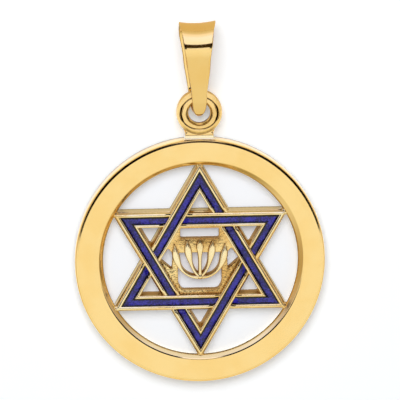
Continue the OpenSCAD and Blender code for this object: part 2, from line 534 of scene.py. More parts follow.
@dataclass(frozen=True)
class Gold(Finish):
    """Yellow gold, from polished to as cast."""

    bright: Colour = (0.985, 0.715, 0.30)
    deep: Colour = (0.98, 0.68, 0.255)
    # Roughness where it is best and least polished
    smooth: float = 0.07
    rough: float = 0.14
    # Depths in millimetres of the broad waves, the grain and the fine polishing marks, and their sizes
    wave: float = 0.002
    grain: float = 0.0003
    grain_size: float = 0.2
    marks: float = 0.0002
    wave_size: float = 2.4
    marks_size: float = 0.06
    # Painted shade: heights in millimetres between which the gold is darkened towards its recesses, and the
    # painted shade's tone there
    painted_shade_heights: tuple[float, float] = (0.0, 0.0)
    shade: Colour = (0.5, 0.27, 0.06)
    # Tones of the painted shade and of the painted highlight, where their attributes are 1
    tarnish: Colour = (0.03, 0.014, 0.003)
    pale: Colour = (1.0, 0.88, 0.6)

    def wire(self, board: Board) -> Wire:
        """Wires the finish and gives its shader."""
        tone = board.grain(self.wave_size, 3.0)
        speck = board.grain(self.grain_size, 3.0)
        lines = board.grain(self.marks_size, 1.0, (1.0, 0.12, 1.0))
        colour = board.blend(tone.between(0.35, 0.7), self.bright, self.deep)
        # Painted shade: the colour darkens towards the shade tone below the lower height, made uneven by
        # the grain
        if self.painted_shade_heights[1] > 0:
            height = board.wire("ShaderNodeSeparateXYZ", {}, {"Vector": board.place()}, 2)
            low, high = (h * MM for h in self.painted_shade_heights)
            uneven = height + (speck - 0.5) * (0.2 * MM)
            colour = board.blend(uneven.between(high, low), colour, self.shade)
        # Painted highlight and painted shade where the pieces' points mark them; the painted shade is made
        # uneven by the grain
        colour = board.blend(board.marked("pale"), colour, self.pale)
        tarnish = board.marked("tarnish")
        colour = board.blend((tarnish + (speck - 0.5) * tarnish).between(0.15, 0.75), colour, self.tarnish)
        normal = board.relief(tone, self.wave)
        normal = board.relief(speck, self.grain, normal)
        normal = board.relief(lines, self.marks, normal)
        wear = (tone + speck) * 0.5
        return board.wire(
            "ShaderNodeBsdfPrincipled",
            {},
            {
                "Base Color": colour,
                "Metallic": 1.0,
                "Roughness": self.smooth + (self.rough - self.smooth) * wear.between(0.38, 0.62),
                "Normal": normal,
            },
        )


@dataclass(frozen=True)
class Enamel(Finish):
    """Fired glass enamel, slightly uneven."""

    clear: Colour = (0.032, 0.024, 0.38)
    dark: Colour = (0.006, 0.003, 0.1)
    # Painted shade where the attribute "edge" is 1: along the enamel's edges, against the gold walls
    rim: Colour = (0.004, 0.001, 0.008)
    # Size and depth in millimetres of the clouds and of the specks
    clouds: Point = (0.7, 0.045)
    specks: Point = (0.12, 0.009)

    def wire(self, board: Board) -> Wire:
        """Wires the finish and gives its shader."""
        cloud = board.grain(self.clouds[0], 3.0)
        speck = board.grain(self.specks[0], 2.0)
        colour = board.blend((cloud * 0.5 + speck * 0.5).between(0.4, 0.6), self.clear, self.dark)
        # Painted shade along the enamel's edges, made ragged by the specks
        edge = board.marked("edge") + (speck - 0.5) * 1.4
        colour = board.blend(edge.between(0.3, 0.85), colour, self.rim)
        normal = board.relief(cloud, self.clouds[1])
        normal = board.relief(speck, self.specks[1], normal)
        return board.wire(
            "ShaderNodeBsdfPrincipled",
            {},
            {
                "Base Color": colour,
                "Roughness": 0.12 + 0.14 * speck.between(0.4, 0.65),
                "IOR": 1.5,
                "Coat Weight": 0.15,
                "Coat Roughness": 0.06,
                "Normal": normal,
            },
        )


POLISHED = Gold("polished_gold")
DRAWN = Gold(
    "drawn_gold", bright=(0.96, 0.68, 0.28), deep=(0.9, 0.6, 0.21), smooth=0.08, rough=0.17,
    wave=0.003, grain=0.0005,
)
# Soldered gold, with a paler tone for its painted highlight
SOLDERED = Gold(
    "soldered_gold", bright=(0.97, 0.68, 0.28), deep=(0.9, 0.6, 0.21), smooth=0.1, rough=0.18,
    pale=(1.0, 0.92, 0.66),
)
# Cast gold with painted shade, full below 0.85 mm and gone above 1.12 mm
CAST = Gold(
    "cast_gold", bright=(1.0, 0.85, 0.5), deep=(0.97, 0.7, 0.3), smooth=0.1, rough=0.24, wave=0.006,
    grain=0.002, grain_size=0.15, painted_shade_heights=(0.85, 1.12),
)
# Granular gold with painted shade, full below 0.4 mm and gone above 0.74 mm
GRANULAR = Gold(
    "granular_gold", bright=(1.0, 0.75, 0.33), deep=(0.86, 0.5, 0.14), smooth=0.15, rough=0.32, grain=0.035,
    grain_size=0.17, painted_shade_heights=(0.4, 0.74), shade=(0.34, 0.17, 0.03),
)
BLUE = Enamel("deep_blue_enamel")


@dataclass
class Ring:
    """The flat polished ring."""

    outer: float = 10.0
    opening: float = 7.76
    height: float = 1.4
    bevel: float = 0.36
    bevel_drop: float = 0.28
    # How far the opening lies off the ring's middle, and the radii between which that fades
    offset: Point = (0.04, 0.05)
    offset_fade: Point = (8.0, 9.2)
    # Outer edge: radius, height and rounding of its corners, from the wall to the face
    shoulder: tuple[Triple, ...] = (
        (10.0, 1.1, 0.06), (9.955, 1.28, 0.04), (9.89, 1.36, 0.02), (9.73, 1.4, 0.03),
    )
    # How much wider the bevel is at its widest, that place's direction in degrees, and the radii between
    # which the widening grows and fades
    wider: float = 0.12
    widest_at: float = 32.0
    wider_grow: Point = (7.85, 8.1)
    wider_fade: Point = (8.2, 9.2)
    # Painted shade in the opening's wall and along the outer wall's foot
    wall_painted_shade: float = 0.5
    foot_painted_shade: float = 0.66
    # Width and height of the step below the bevel, and how far the opening's wall leans out at the back
    step: float = 0.08
    step_drop: float = 0.12
    undercut: float = 0.26
    steps: int = 360

    def profile(self) -> list[Vector]:
        """The ring's section, x from the axis and z up. Its outer shoulder falls softly."""
        corners = [
            (self.opening + self.undercut, 0.0, 0.1),
            (self.outer, 0.0, 0.1),
            *self.shoulder,
            (self.opening + self.bevel, self.height, 0.07),
            (self.opening + self.step, self.height - self.bevel_drop, 0.06),
            (self.opening, self.height - self.bevel_drop - self.step_drop, 0.05),
        ]
        return [Vector((p.x, 0.0, p.y)) for p in supported(rounded(corners, 8))]

    def painted_shade_at(self, _: int, point: Vector) -> float:
        """Painted shade at a point: in the opening's wall and along the outer wall's foot."""
        reach = point.xy.length
        inside = self.wall_painted_shade * (1 - ease(reach, self.opening + 0.02, self.opening + 0.1))
        outside = self.foot_painted_shade * (1 - ease(point.z, 0.08, 0.22)) * (reach > self.outer - 0.2)
        return max(inside, outside)

    def painted_highlight_at(self, _: int, point: Vector) -> float:
        """Painted highlight at a point: on the bevel, most of all at the bottom."""
        reach = point.xy.length
        return (0.1 + 0.75 * ease(-point.y / reach, 0.3, 0.8)) * (
            1 - ease(reach, self.opening + 0.3, self.opening + 0.36)
        )

    def placed(self, point: Vector) -> Vector:
        """Where a point goes, as the opening lies off the middle and its bevel isn't wide all round."""
        reach = point.xy.length
        side = max(0.0, math.cos(math.atan2(point.y, point.x) - math.radians(self.widest_at))) ** 3
        wide = self.wider * side * ease(reach, *self.wider_grow) * (1 - ease(reach, *self.wider_fade))
        moved = point + Vector((*self.offset, 0)) * (1 - ease(reach, *self.offset_fade))
        return moved + moved.xy.to_3d() * (wide / reach) if moved.z > 1.0 else moved

    def build(self) -> None:
        """Builds and dresses the ring."""
        bench = Bench()
        bench.spin(self.profile(), Vector((0, 0, 0)), self.steps)
        bench.weld()
        # Painted shade in the opening's wall and at the outer wall's foot, and painted highlight on the
        # bevel
        bench.mark("tarnish", self.painted_shade_at)
        bench.mark("pale", self.painted_highlight_at)
        for vert in bench.bm.verts:
            vert.co = self.placed(vert.co)
        bench.piece("ring", POLISHED, Slot.GOLD, MEDALLION)


@dataclass
class Star:
    """The hexagram: six bent bands, each with an enamel strip in its channel."""

    # Distances of the bands' and the channels' walls from the star's centre
    outer: float = 3.94
    inner: float = 2.80
    channel_outer: float = 3.62
    channel_inner: float = 3.07
    height: float = 1.26
    floor: float = 0.86
    glass: float = 1.2
    draft: float = 0.03
    # How far the outer wall spreads towards the back, and the height of its ledge
    spread: float = 0.15
    ledge: float = 0.9
    # Rims: how far their sides lie below their crest, and the rounding of their edges
    crown: float = 0.065
    rim_edge: float = 0.035
    # Bands: how far their ends go under their neighbours, how deep and over what length they dip there,
    # how much and how far they rise over a crossing, and their unevenness' size and depth
    tuck: float = 0.07
    dip: float = 0.1
    dip_length: float = 0.4
    rise: float = 0.03
    rise_reach: float = 0.9
    uneven: Point = (0.8, 0.012)
    steps: int = 44
    # Enamel: its ends' tuck, its unevenness, the painted shade of its points from the edge inwards, along
    # the gold walls, and their places across it as shares of its half width
    glass_tuck: float = 0.02
    glass_uneven: Point = (0.5, 0.02)
    edge_painted_shade: tuple[float, ...] = (1.0, 1.0, 0.7, 0.2, 0.0)
    glass_shares: tuple[float, ...] = (-1.0, -0.84, -0.66, -0.5, -0.25, 0.0, 0.25, 0.5, 0.66, 0.84, 1.0)

    def rim(self, low: float, high: float) -> list[Triple]:
        """Corners of a rim's crowned front, from its outer to its inner side.

        Args:
            low: Distance of its inner side from the star's centre.
            high: Distance of its outer side.

        Returns:
            Distance, height and rounding of each corner.
        """
        middle, half = (low + high) / 2, (high - low) / 2
        shares = [i / 5 for i in range(5, -6, -1)]
        return [
            (middle + u * half, self.height - self.crown * u * u, self.rim_edge if abs(u) == 1 else 0.0)
            for u in shares
        ]

    def band_section(self) -> list[Point]:
        """Section of a band: distance from the star's centre and height, round the channel and the back."""
        d = self.draft
        corners = [
            (self.outer + self.spread, 0.0, 0.0),
            (self.outer + self.spread * 0.85, self.ledge, 0.02),
            (self.outer + 0.03, self.ledge + 0.08, 0.02),
            *self.rim(self.channel_outer + d, self.outer),
            (self.channel_outer - d, self.floor, 0.0),
            (self.channel_inner + d, self.floor, 0.0),
            *self.rim(self.inner, self.channel_inner - d),
            (self.inner, 0.0, 0.0),
        ]
        return [(p.x, p.y) for p in supported(rounded(corners, 3), 0.02)]

    def glass_section(self) -> list[Point]:
        """Section of the enamel, which climbs a little at the walls of its channel."""
        low, high = self.channel_inner, self.channel_outer
        middle, half = (low + high) / 2, (high - low) / 2
        top = [
            (middle + u * (half + 0.012), self.glass + 0.035 * abs(u) ** 6 - 0.012 * (1 - u * u))
            for u in self.glass_shares
        ]
        return [*top, (high - 0.03, self.floor - 0.01), (low + 0.03, self.floor - 0.01)]

    def row(
        self, section: Sequence[Point], place: Callable[[float], Vector], lift: Callable[[Vector], float]
    ) -> Row:
        """One station of a band or strip.

        Args:
            section: Its section.
            place: Gives the point at a distance from the centre.
            lift: Gives how much the front is raised at a point.

        Returns:
            The station's points.
        """
        row = []
        for distance, height in section:
            p = place(distance)
            row.append(Vector((p.x, p.y, height + (lift(p) if height > self.floor - 0.05 else 0.0))))
        return row

    def rows(
        self, section: Sequence[Point], start: float, end: float, lift: Callable[[Vector], float]
    ) -> list[Row]:
        """Stations of a band or strip round the top point, from its right end to its left end.

        Args:
            section: Its section.
            start: Distance of the line that cuts the right end.
            end: Distance of the line that cuts the left end.
            lift: Gives how much the front is raised at a point.

        Returns:
            The stations.
        """
        turns = (
            lambda d: meet(30, d, 90, start),
            lambda d: meet(30, d, 150, d),
            lambda d: meet(150, d, 210, end),
        )
        left = 2 * self.steps
        shares = [(0, i / self.steps) for i in range(self.steps)]
        shares += [(1, i / left) for i in range(left + 1)]
        return [
            self.row(section, lambda d: turns[side](d).lerp(turns[side + 1](d), share), lift)
            for side, share in shares
        ]

    def lift(self, point: Vector, seed: float) -> float:
        """How much a band's front is raised. It dips at its ends and rises over the band it crosses."""
        middle = (self.outer + self.inner) / 2
        from_start = point.y - self.outer if point.x > 0 else self.dip_length
        left_normal = turned(210) @ Vector((1, 0, 0))
        from_end = self.inner - point.xy.to_3d().dot(left_normal) if point.x < 0 else self.dip_length
        dips = (1 - ease(from_start, 0.0, self.dip_length)) + (1 - ease(from_end, 0.0, self.dip_length))
        crossing = (point.xy.to_3d() - meet(150, middle, 90, middle)).length
        bump = self.rise * math.exp(-((crossing / self.rise_reach) ** 2))
        return -self.dip * dips + bump + waver(point, *self.uneven, seed)

    def build(self) -> None:
        """Builds and dresses the bands and the enamel."""
        band, glass = self.band_section(), self.glass_section()
        for k, corner in enumerate(CORNERS):
            seed = 3.1 * k + 1.3
            bench = Bench()
            start, end = self.outer - self.tuck, self.inner + self.tuck
            bench.loft(self.rows(band, start, end, lambda p: self.lift(p, seed)))
            bench.turn(60 * k)
            # Painted highlight on the band's walls, full below the ledge and gone at 1.1 mm, and painted
            # shade at its foot on the floor
            bench.mark("pale", lambda _, p: 0.7 * (1 - ease(p.z, self.ledge, 1.1)))
            bench.mark("tarnish", lambda _, p: 0.5 * (1 - ease(p.z, 0.05, 0.16)))
            bench.piece(f"band_{corner}", CAST, Slot.GOLD, MEDALLION)
            bench = Bench()
            start, end = self.outer - self.glass_tuck, self.inner + self.glass_tuck
            bench.loft(
                self.rows(
                    glass, start, end, lambda p: self.lift(p, seed) + waver(p, *self.glass_uneven, seed + 9)
                )
            )
            bench.turn(60 * k)
            last = len(self.glass_shares) - 1
            # Painted shade along the strip's edges, against the gold walls
            bench.mark("edge", lambda seat, _: self.edge_painted_shade[min(seat, abs(last - seat), 4)])
            bench.piece(f"enamel_{corner}_glass", BLUE, Slot.ENAMEL, f"enamel_{corner}")


@dataclass
class PointWebs:
    """Sloping metal round the small hole inside each point of the star."""

    star: Star
    # Outlines round a web, from its front over its slope to its back: distance from the bands' walls,
    # length cut off the corners and height
    outlines: tuple[Triple, ...] = (
        (-0.06, 0.03, 1.0), (0.02, 0.1, 0.92), (0.044, 0.168, 0.62), (0.08, 0.24, 0.3),
        (0.08, 0.24, 0.06), (0.04, 0.24, 0.0), (-0.06, 0.03, 0.0),
    )

    def outline(self, margin: float, cut: float, height: float) -> Row:
        """A triangle inside the top point.

        Args:
            margin: Distance of its sides from the bands' walls.
            cut: Length cut off its corners' sides.
            height: Its height above the back.

        Returns:
            The outline.
        """
        side, base = self.star.inner - margin, self.star.outer + margin
        corners = [meet(30, side, 150, side), meet(150, side, 90, base), meet(90, base, 30, side)]
        return [Vector((p.x, p.y, height)) for p in rounded([(c.x, c.y, cut) for c in corners], 6)]

    def build(self) -> None:
        """Builds and dresses the six webs."""
        bench = Bench()
        rows = [self.outline(*outline) for outline in self.outlines]
        for k in range(6):
            bench.loft([[turned(60 * k) @ p for p in row] for row in rows], wrap=True)
        bench.piece("point_webs", CAST, Slot.GOLD, MEDALLION)


@dataclass
class Ornament:
    """The pierced ground inside the star and the fan of leaves on it."""

    star: Star
    ground: float = 0.75
    ground_edge: float = 0.07
    leaf_height: float = 1.12
    leaf_width: float = 0.62
    # Upper opening, and the web above it
    slot_width: float = 3.1
    slot_height: float = 0.84
    slot_web: float = 0.22
    # Large opening: its width, the ground between it and the upper one, and the web round it
    gap_width: float = 3.5
    carrier: float = 1.16
    web: float = 0.32
    # Knot where the stems meet: its width, and its y as a share of the hexagon's half height
    knot: float = 0.52
    knot_y: float = -0.47
    # Curves of the leaves as shares of the hexagon's half height: stem, bend and tip
    leaves: tuple[tuple[Point, Point, Point], ...] = (
        ((0.0, -0.44), (0.0, 0.1), (0.0, 0.62)),
        ((0.02, -0.46), (0.31, -0.26), (0.37, 0.58)),
        ((0.06, -0.5), (0.69, -0.45), (0.72, 0.46)),
    )
    # Corners of the opening at the right, as such shares. The left one mirrors it.
    side_gap: tuple[Point, ...] = ((1.12, 0.02), (0.9, 0.34), (0.77, 0.18), (0.8, -0.26))
    # Half width of a leaf along its length, as shares
    leaf_shape: tuple[Point, ...] = (
        (0.0, 0.5), (0.16, 0.46), (0.3, 0.44), (0.44, 0.48), (0.55, 0.58), (0.64, 0.76), (0.73, 0.95),
        (0.81, 1.0), (0.89, 0.8), (0.95, 0.48), (1.0, 0.1),
    )
    # Height of the leaves' back, and how far their rounded front rises
    leaf_low: float = 0.3
    leaf_rise: float = 0.3
    leaf_steps: int = 40

    def outlines(self) -> list[list[Vector]]:
        """The ground's outer outline and its openings."""
        unit = self.star.inner
        edge = [meet(30 + 60 * k, unit + 0.06, 90 + 60 * k, unit + 0.06) for k in range(6)]
        high = unit - self.slot_web
        low, half = high - self.slot_height, self.slot_width / 2
        slot = rounded([(-half, low, 0.14), (half, low, 0.14), (half, high, 0.1), (-half, high, 0.1)])
        right = rounded([(x * unit, y * unit, 0.1) for x, y in self.side_gap])
        left = [Vector((-p.x, p.y, 0)) for p in right]
        reach, side, top = unit - self.web, self.gap_width / 2, low - self.carrier
        knee = meet(270, reach, 330, reach)
        bend = -(2 * reach - side * math.sqrt(3))
        gap = rounded(
            [
                (-side, top, 0.16), (side, top, 0.16), (side, bend, 0.2), (knee.x, knee.y, 0.2),
                (-knee.x, knee.y, 0.2), (-side, bend, 0.2),
            ]
        )
        return [edge, slot, right, left, gap]

    def leaf(self, bench: Bench, path: Sequence[Point], mirror: float) -> None:
        """Adds one leaf with a crowned front.

        Args:
            bench: The bench that takes it.
            path: Stem, bend and tip of its curve, as shares.
            mirror: 1, or -1 for the other side.
        """
        unit = self.star.inner
        a, b, c = (Vector((x * unit * mirror, y * unit, 0)) for x, y in path)
        rows = []
        for i in range(self.leaf_steps + 1):
            t = i / self.leaf_steps
            middle = a.lerp(b, t).lerp(b.lerp(c, t), t)
            along = (b - a).lerp(c - b, t).normalized()
            across = Vector((-along.y, along.x, 0))
            half = self.leaf_width / 2 * read_curve(self.leaf_shape, t)
            crown = self.leaf_height - 0.05 * (1 - ease(half, 0.05, 0.28))
            foot = crown - self.leaf_rise + waver(middle, 0.6, 0.01)
            row = []
            for u in (-1 + j / 8 for j in range(17)):
                rise = self.leaf_rise * (1 - abs(u) ** 4) ** (1 / 3.2)
                row.append(middle + across * half * u + Vector((0, 0, foot + rise)))
            back = Vector((0, 0, self.leaf_low))
            row += [middle + across * (half * side) + back for side in (0.97, -0.97)]
            rows.append(row)
        bench.loft(rows)

    def build(self) -> None:
        """Builds and dresses the ground, the leaves and the knot."""
        bench = Bench()
        bench.plate(self.outlines(), 0.0, self.ground, self.ground_edge)
        bench.piece("ornament_ground", GRANULAR, Slot.GOLD, MEDALLION)
        bench = Bench()
        for i, path in enumerate(self.leaves):
            for mirror in (1.0, -1.0) if i else (1.0,):
                self.leaf(bench, path, mirror)
        bench.piece("ornament_leaves", CAST, Slot.GOLD, MEDALLION)
        bench = Bench()
        radius = self.knot / 2
        corners = [
            (0.0, self.leaf_low, 0.0),
            (radius, self.leaf_low, 0.0),
            (radius, self.leaf_height, 0.2),
            (0.0, self.leaf_height + 0.04, 0.0),
        ]
        outline = [Vector((p.x, 0, p.y)) for p in rounded(corners, 8)]
        bench.spin(outline, Vector((0, self.knot_y * self.star.inner, 0)), 40)
        bench.weld()
        bench.piece("ornament_knot", CAST, Slot.GOLD, MEDALLION)


@dataclass
class Beads:
    """Drops of solder that join the star's points to the ring."""

    reach: float = 7.76
    radius: float = 0.3
    top: float = 1.14
    # How much wider a drop is at the ring's wall, deeper at the back and higher at one side, and its
    # unevenness' size and depth
    wide: float = 0.5
    deep: float = 1.6
    lean: float = 0.1
    uneven: Point = (0.3, 0.03)

    def build(self) -> None:
        """Builds and dresses the six beads."""
        bench = Bench()
        for k in range(6):
            made = bmesh.ops.create_icosphere(bench.bm, subdivisions=4, radius=self.radius)["verts"]
            for vert in made:
                side = vert.co.x / self.radius
                # The drop spreads along the ring's wall and down to the back
                vert.co.x *= 1.0 + self.wide * ease(vert.co.y, -0.05, self.radius)
                vert.co.z *= self.deep if vert.co.z < 0 else 1.0 + self.lean * side
                x, y = (waver(vert.co, *self.uneven, seed) for seed in (k, k + 5))
                vert.co += Vector((x, y, 0))
                vert.co += Vector((0.0, self.reach, self.top - self.radius))
            bmesh.ops.rotate(bench.bm, verts=made, cent=(0, 0, 0), matrix=turned(60 * k))
        bench.piece("solder_beads", CAST, Slot.GOLD, MEDALLION)


@dataclass
class Loop:
    """The fixed loop on the ring and its flared foot."""

    centre: Point = (0.0, 12.12)
    height: float = 0.97
    radius: float = 1.34
    wire: float = 0.5
    tilt: float = 2.5
    # Front of the loop's section: distance from its middle and height, from its outer to its inner side
    front: tuple[Point, ...] = (
        (1.84, 0.97), (1.835, 1.1), (1.82, 1.22), (1.79, 1.33), (1.745, 1.417), (1.62, 1.42),
        (1.42, 1.421), (1.2, 1.42), (1.06, 1.418), (1.03, 1.412), (1.005, 1.375), (0.985, 1.345),
        (0.96, 1.335), (0.93, 1.34), (0.905, 1.335), (0.88, 1.31), (0.86, 1.25), (0.845, 1.1), (0.84, 0.97),
    )
    # Grooves round its front: distance from the middle, half width, depth and painted shade, and what is
    # added to them at the left and right
    grooves: tuple[tuple[Groove, Groove], ...] = (
        ((1.3, 0.028, 0.045, 0.8), (0.16, 0.032, 0.07, 0.4)),
        ((0.975, 0.03, 0.02, 0.35), (-0.01, 0.03, 0.02, 0.2)),
    )
    # Half width of the foot, and the height of its front, against y
    foot_width: tuple[Point, ...] = (
        (9.88, 1.24), (9.95, 1.2), (10.02, 1.17), (10.12, 1.14), (10.25, 1.13), (10.35, 1.13),
        (10.5, 1.17), (10.8, 1.3), (11.2, 1.42), (11.4, 1.45),
    )
    foot_height: tuple[Point, ...] = (
        (9.88, 1.375), (9.95, 1.29), (10.03, 1.22), (10.28, 1.225), (10.3, 1.17), (10.5, 1.175),
        (10.8, 1.18), (11.0, 1.18), (11.4, 1.1),
    )
    # Slope of the front's fall at the bottom, where it begins, and how much less high than wide the hole is
    fall: float = 0.6
    fall_from: float = 1.5
    squash: float = 0.05
    # Painted shade at the hole's edge, over the lower half and at the outer side
    hole_painted_shade: float = 0.62
    low_painted_shade: float = 0.4
    side_painted_shade: float = 0.34
    steps: int = 180
    foot_low: float = 0.4
    foot_steps: int = 40

    def groove(self, number: int, distance: float, angle: float) -> tuple[float, float]:
        """Depth and painted shade of a groove at a distance from the middle and an angle in radians."""
        base, added = self.grooves[number]
        side = ease(abs(math.cos(angle)), 0.84, 0.97)
        middle = base[0] + added[0] * math.cos(angle) ** 2
        half, depth, tarnish = (b + side * a for b, a in zip(base[1:], added[1:]))
        bell = math.exp(-(((distance - middle) / half) ** 2))
        return depth * bell, tarnish * bell

    def section(self, angle: float) -> Row:
        """The loop's section at an angle in radians."""
        row = []
        for (r1, z1), (r2, z2) in zip(self.front, self.front[1:]):
            parts = max(1, round(math.hypot(r2 - r1, z2 - z1) / 0.02))
            for j in range(parts):
                at = r1 + (r2 - r1) * j / parts
                height = z1 + (z2 - z1) * j / parts
                height -= sum(self.groove(n, at, angle)[0] for n in range(len(self.grooves)))
                # Below, the front falls towards the foot and the hole is less high than wide
                low = ease(-math.sin(angle), 0.3, 0.9) * (height > 1.05)
                height -= self.fall * max(0.0, at - self.fall_from) * low
                at -= self.squash * math.sin(angle) ** 2 * (1 - ease(at, 0.9, 1.2))
                row.append((at, height))
        for a in (math.pi * (1 + j / 16) for j in range(16)):
            row.append((self.radius + self.wire * math.cos(a), self.height + self.wire * math.sin(a)))
        turn = Vector((math.cos(angle), math.sin(angle), 0.0))
        return [Vector((*self.centre, z)) + turn * at for at, z in row]

    def painted_shade_at(self, _: int, point: Vector) -> float:
        """Painted shade at a point of the loop's front."""
        way = point.xy - Vector(self.centre)
        angle = math.atan2(way.y, way.x)
        if point.z < self.height:
            return 0.0
        hole = self.hole_painted_shade * (1 - ease(way.length + self.squash * math.sin(angle) ** 2, 0.85, 0.9))
        below = self.low_painted_shade * ease(-math.sin(angle), 0.45, 0.8) * ease(way.length, 1.52, 1.62)
        outside = self.side_painted_shade * ease(way.length, 1.76, 1.81)
        grooves = (self.groove(n, way.length, angle)[1] for n in range(len(self.grooves)))
        return max(hole, below, outside, *grooves)

    def foot_row(self, y: float) -> Row:
        """Section of the foot at that y, a bar with edges that get rounder under the loop."""
        half, top = read_curve(self.foot_width, y), read_curve(self.foot_height, y)
        edge = 0.03 + 0.27 * ease(y, 10.3, 10.6)
        corners = [
            (-half, self.foot_low, 0.2), (half, self.foot_low, 0.2), (half, top, edge), (-half, top, edge),
        ]
        return [Vector((p.x, y, p.y)) for p in supported(rounded(corners, 6))]

    def build(self) -> None:
        """Builds and dresses the loop and its foot."""
        bench = Bench()
        bench.loft([self.section(math.tau * i / self.steps) for i in range(self.steps)], wrap=True)
        # Painted shade round the hole, on the lower half, at the outer side and in the grooves
        bench.mark("tarnish", self.painted_shade_at)
        centre = (*self.centre, self.height)
        bmesh.ops.rotate(bench.bm, verts=bench.bm.verts, cent=centre, matrix=turned(-self.tilt, "X"))
        bench.piece("loop", DRAWN, Slot.GOLD, MEDALLION)
        bench = Bench()
        start, end, steps = self.foot_width[0][0], self.centre[1] - self.radius + 0.3, self.foot_steps
        bench.loft([self.foot_row(start + (end - start) * i / steps) for i in range(steps + 1)])
        # Painted highlight on the foot's front, fading out between y 10.2 and 10.3 mm
        bench.mark("pale", lambda _, p: 0.8 - 0.7 * ease(p.y, 10.2, 10.3))
        bench.piece("loop_foot", SOLDERED, Slot.GOLD, MEDALLION)


@dataclass
class Bail:
    """The bent, tapered strap that takes the chain."""

    loop: Loop
    thickness: float = 0.36
    head: float = 1.8
    rise: float = 7.3
    lean: float = 1.4
    drop: float = 0.32
    tip: float = 0.45
    half_width: float = 1.46
    # Hollow across the head's end, bulge across the front, and painted shade on the narrow sides
    dish: float = 0.15
    crown: float = 0.02
    tarnish: float = 0.42
    # Play round the loop's wire
    gap: float = 0.09
    # Half width at the loop, as a share of the head's
    waist: float = 0.43
    edge: float = 0.07
    # Step round the bends in degrees, and parts of each straight run
    turn: float = 2.5
    run_steps: int = 24
    # Sideways shift of the strap against its height, all in millimetres
    skew: tuple[Point, ...] = ((0.0, -0.19), (0.36, -0.16), (1.2, 0.0), (2.25, 0.03), (3.6, -0.02))
    # Half width of the strap along the bail, as shares of its length and of the head's half width
    plan: tuple[Point, ...] = (
        (0.0, 0.08), (0.008, 0.15), (0.034, 0.255), (0.07, 0.33), (0.11, 0.37), (0.17, 0.392), (0.28, 0.43),
        (0.39, 0.5), (0.524, 0.594), (0.643, 0.645), (0.758, 0.73), (0.82, 0.79), (0.897, 0.835),
        (0.95, 0.88), (0.985, 0.96), (1.0, 1.0),
    )
    # Its ends along y, and the three circles whose hull it is seen from the side: y, z and radius
    top: float = field(init=False)
    low: float = field(init=False)
    circles: list[Triple] = field(init=False)

    def __post_init__(self) -> None:
        """Finds the bail's ends and circles."""
        y, loop = self.loop.centre[1], self.loop
        self.top, self.low = y + self.rise, y - self.drop
        hug = loop.wire + self.gap
        half = self.half_width * self.waist
        sink = (loop.radius - math.sqrt(loop.radius**2 - half**2)) / 2
        self.circles = [
            (self.top - self.head, self.head, self.head),
            (y + loop.radius - sink, loop.height, hug + self.thickness),
            (self.low + self.tip, loop.height, self.tip),
        ]

    def touched(self, angle: float) -> int:
        """Number of the circle that the hull touches in a direction, in degrees."""
        a = math.radians(angle)
        reach = [y * math.cos(a) + z * math.sin(a) + r for y, z, r in self.circles]
        return reach.index(max(reach))

    def hull(self, angle: float) -> Vector:
        """Point of the hull whose normal has that direction, in degrees."""
        y, z, r = self.circles[self.touched(angle)]
        a = math.radians(angle)
        return Vector((0.0, y + r * math.cos(a), z + r * math.sin(a)))

    def half(self, y: float) -> float:
        """Half width of the strap at that y."""
        return self.half_width * read_curve(self.plan, (y - self.low) / (self.top - self.low))

    def stations(self) -> list[tuple[Vector, float]]:
        """Points round the strap's outer side, each with the angle of its normal."""
        made = []
        for i in range(round(360 / self.turn)):
            a, b = i * self.turn, (i + 1) * self.turn
            p, q = self.hull(a), self.hull(b)
            parts = 1 if self.touched(a) == self.touched(b % 360) else self.run_steps
            made += [(p.lerp(q, j / parts), a + self.turn * j / parts) for j in range(parts)]
        return made

    def section(self, half: float) -> list[Point]:
        """Section of the strap with rounded edges: x and depth below its outer side."""
        cut = min(self.edge, half * 0.45)
        depth = self.thickness
        flats = [(-half + cut + (2 * (half - cut)) * j / 10, 0.0) for j in range(11)]
        turn = [math.radians(15 * j) for j in range(1, 6)]
        outer = [(half - cut + cut * math.sin(a), cut - cut * math.cos(a)) for a in turn]
        inner = [(half - cut + cut * math.cos(a), depth - cut + cut * math.sin(a)) for a in [0.0, *turn]]
        right = [*outer, (half, cut), *inner]
        back = [(-x, depth) for x, _ in flats]
        left = [(-x, d) for x, d in reversed(right)]
        return [*flats, *right, *back, *left]

    def row(self, station: tuple[Vector, float]) -> Row:
        """The strap's section at one station."""
        p, angle = station
        a = math.radians(angle)
        half = self.half(p.y)
        ahead, up = max(0.0, math.cos(a)), max(0.0, math.sin(a))
        dish = self.dish * ahead**2 - self.crown * (1 - ahead) * up
        row = []
        for x, depth in self.section(half):
            out = dish * (x / half) ** 2 - depth
            x *= self.half(p.y - depth * math.cos(a)) / half
            z = p.z + out * math.sin(a)
            row.append(Vector((x + read_curve(self.skew, z), p.y + out * math.cos(a), z)))
        return row

    def build(self) -> None:
        """Builds and dresses the bail."""
        bench = Bench()
        bench.loft([self.row(station) for station in self.stations()], wrap=True)
        bench.turn(self.lean, self.loop.centre)
        sides = [abs(x) > 0.985 for x, _ in self.section(1.0)]
        # Painted shade on the strap's narrow sides
        bench.mark("tarnish", lambda seat, _: self.tarnish * sides[seat])
        bench.piece("bail_strap", POLISHED, Slot.GOLD, "bail")


